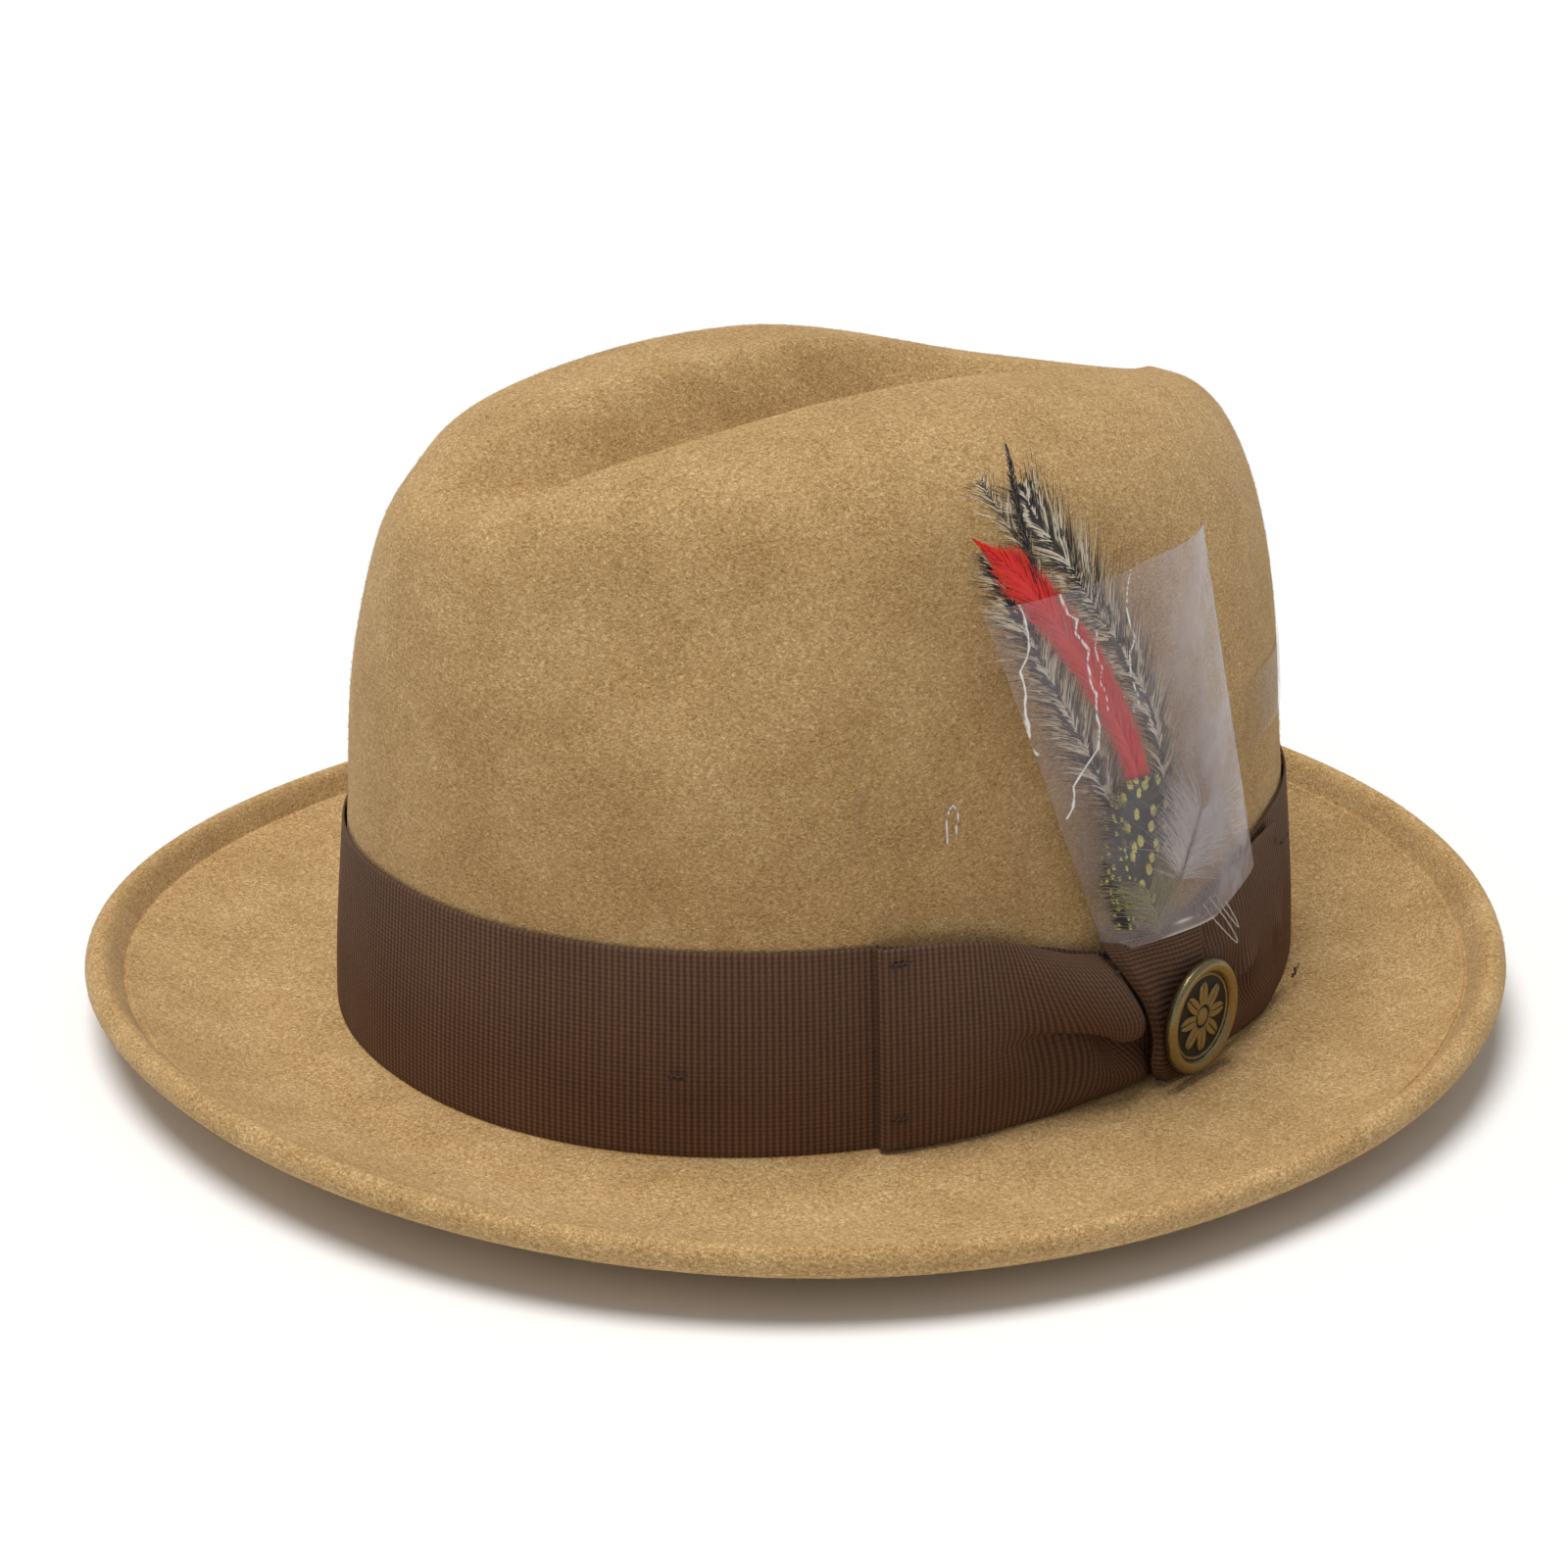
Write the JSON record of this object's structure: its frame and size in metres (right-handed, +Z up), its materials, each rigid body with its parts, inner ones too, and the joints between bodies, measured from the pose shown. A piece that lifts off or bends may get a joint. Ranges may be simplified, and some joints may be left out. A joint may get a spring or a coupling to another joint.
{
  "type": "fedora hat",
  "caption": "Wool-felt fedora with a teardrop crown, upturned welted brim, grosgrain band and bow, brass badge and a feather spray in a clear sleeve.",
  "frame": {"origin": "middle of the brim's outline, on the plane that the brim's underside rests on", "axes": "+Z up, the front of the hat towards -Y, the wearer's left side with the bow towards +X"},
  "size_m": [0.2826, 0.2796, 0.1255],
  "materials": {
    "felt": "short wool nap, camel",
    "ribbon": "ribbed grosgrain, brown",
    "thread": "twisted thread",
    "badge_brass": "antiqued, dark in the recesses",
    "red_feather": "dyed hackle",
    "barred_feather": "dark and cream bars",
    "spotted_feather": "dark with yellow dots",
    "olive_feather": "soft webby hackle",
    "pale_feather": "down",
    "card": "matt",
    "clear_film": "thin clear plastic film, slightly hazy",
    "sweatband_leather": "smooth, semi-matt",
    "satin": "satin lining",
    "reed": "extruded",
    "label": "blank woven label"
  },
  "bodies": {
    "hat": {"felt_body": "felt", "band_ribbon": "ribbon", "bow_under_layer": "ribbon", "bow_front_loop": "ribbon", "bow_rear_tail": "ribbon", "bow_knot_wrap": "ribbon", "feather_sleeve": "clear_film", "sleeve_tape": "clear_film", "nylon_loop": "clear_film", "sweatband": "sweatband_leather", "sweatband_reed": "reed", "sweatband_bow": "ribbon", "lining_side": "satin", "lining_tip": "satin", "size_label": "label", "tack_1": "thread", "tack_2": "thread", "tack_3": "thread", "tack_4": "thread", "tack_5": "thread", "tack_6": "thread"},
    "badge": {"badge_face": "badge_brass", "badge_post": "badge_brass", "badge_clutch": "badge_brass"},
    "feather_spray": {"feather_tab": "card", "feather_binding": "thread", "feather_fluff": "pale_feather", "feather_barred_side": "barred_feather", "feather_barred_long": "barred_feather", "feather_red": "red_feather", "feather_spotted": "spotted_feather", "feather_olive": "olive_feather"}
  },
  "joints": [
    {"name": "feather_pull", "type": "slide", "parent": "hat", "child": "feather_spray", "axis": [-0.0094, -0.2175, 0.976], "range_m": [0, 0.09]},
    {"name": "badge_turn", "type": "hinge", "parent": "hat", "child": "badge", "pos_m": [0.09004, 0.02711, 0.0152], "axis": [0.9781, 0.2079, 0], "continuous": true}
  ]
}
